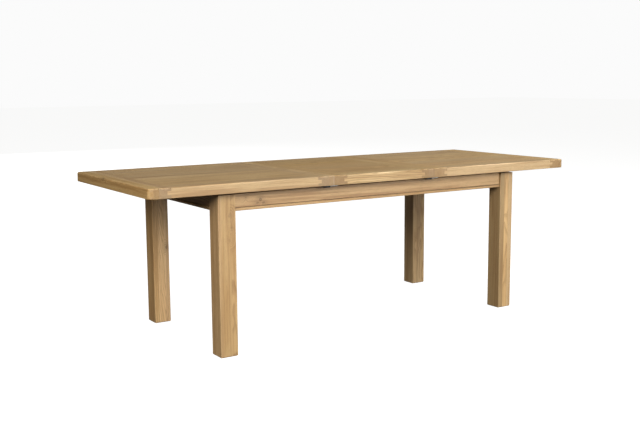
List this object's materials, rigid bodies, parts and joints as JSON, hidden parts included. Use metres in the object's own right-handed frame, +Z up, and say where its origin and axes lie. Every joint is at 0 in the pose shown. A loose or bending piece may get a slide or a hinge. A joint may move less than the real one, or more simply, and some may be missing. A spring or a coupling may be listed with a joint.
{
  "type": "extendable dining table",
  "caption": "Rectangular oak dining table on square legs; half tops slide apart on runners over a fixed underframe to take a centre leaf.",
  "frame": {"origin": "on the floor, under the middle of the table", "axes": "+X along the table's length, -Y is the front long side, +Z up; drawn pulled out with the leaf in place"},
  "size_m": [2.4, 0.9, 0.78],
  "materials": {
    "oak_boards": "oak boards, satin lacquer",
    "oak_cross_boards": "oak cross boards, satin lacquer",
    "oak_aprons": "oak, satin lacquer",
    "oak_legs": "solid oak, satin lacquer",
    "beech_runners": "planed beech, waxed",
    "beech_pegs": "turned beech",
    "frame_timber": "planed softwood",
    "zinc_fastener": "zinc plated",
    "clip_steel": "bright plated steel",
    "dark_socket": "black painted",
    "axle_steel": "turned steel",
    "gear_plastic": "moulded acetal",
    "glide_plastic": "moulded brown plastic"
  },
  "bodies": {
    "underframe": {"apron_back": "oak_aprons", "apron_front": "oak_aprons", "apron_left": "oak_aprons", "apron_right": "oak_aprons", "axle_ring": "axle_steel", "bead_back": "oak_aprons", "bead_front": "oak_aprons", "bead_left": "oak_aprons", "bead_right": "oak_aprons", "corner_blocks": "frame_timber", "corner_bolts": "zinc_fastener", "corner_nuts": "zinc_fastener", "corner_washers": "zinc_fastener", "cross_rail_centre": "frame_timber", "cross_rail_left": "frame_timber", "cross_rail_right": "frame_timber", "frame_screws": "zinc_fastener", "glides": "glide_plastic", "guide_bar_back": "beech_runners", "guide_bar_front": "beech_runners", "leg_back_left": "oak_legs", "leg_back_right": "oak_legs", "leg_front_left": "oak_legs", "leg_front_right": "oak_legs", "pinion_axle": "axle_steel", "rack_keepers": "frame_timber"},
    "left_top": {"left_boards": "oak_boards", "left_clip_screws": "zinc_fastener", "left_end_rail": "oak_cross_boards", "left_fork": "clip_steel", "left_rack": "gear_plastic", "left_rack_block": "frame_timber", "left_rack_screws": "zinc_fastener", "left_runner_back": "beech_runners", "left_runner_front": "beech_runners", "left_runner_screws": "zinc_fastener", "left_seam_rail": "oak_cross_boards", "left_socket": "dark_socket", "left_stop_pegs": "beech_pegs"},
    "right_top": {"right_boards": "oak_boards", "right_clip_screws": "zinc_fastener", "right_end_rail": "oak_cross_boards", "right_fork": "clip_steel", "right_rack": "gear_plastic", "right_rack_block": "frame_timber", "right_rack_screws": "zinc_fastener", "right_runner_back": "beech_runners", "right_runner_front": "beech_runners", "right_runner_screws": "zinc_fastener", "right_seam_rail": "oak_cross_boards", "right_socket": "dark_socket", "right_stop_pegs": "beech_pegs"},
    "leaf": {"leaf_boards": "oak_boards", "leaf_clip_screws": "zinc_fastener", "leaf_forks": "clip_steel", "leaf_left_rail": "oak_cross_boards", "leaf_pegs": "beech_pegs", "leaf_right_rail": "oak_cross_boards", "leaf_sockets": "dark_socket"},
    "pinion": {"pinion": "gear_plastic"}
  },
  "joints": [
    {"name": "left_top_slide", "type": "slide", "parent": "underframe", "child": "left_top", "axis": [1, 0, 0], "range_m": [0, 0.3]},
    {"name": "right_top_slide", "type": "slide", "parent": "underframe", "child": "right_top", "axis": [-1, 0, 0], "range_m": [0, 0.3]},
    {"name": "pinion_spin", "type": "hinge", "parent": "underframe", "child": "pinion", "pos_m": [0, 0, 0.707], "axis": [0, 0, 1], "range_deg": [0, 690]},
    {"name": "leaf_lift", "type": "slide", "parent": "underframe", "child": "leaf", "axis": [0, 0, 1], "range_m": [0, 0.72]}
  ],
  "couplings": [
    {"joint": "right_top_slide", "follows": "left_top_slide", "ratio": 1},
    {"joint": "pinion_spin", "follows": "left_top_slide", "rad_per_m": 40},
    {"joint": "leaf_lift", "follows": "left_top_slide", "ratio": 2.4}
  ]
}
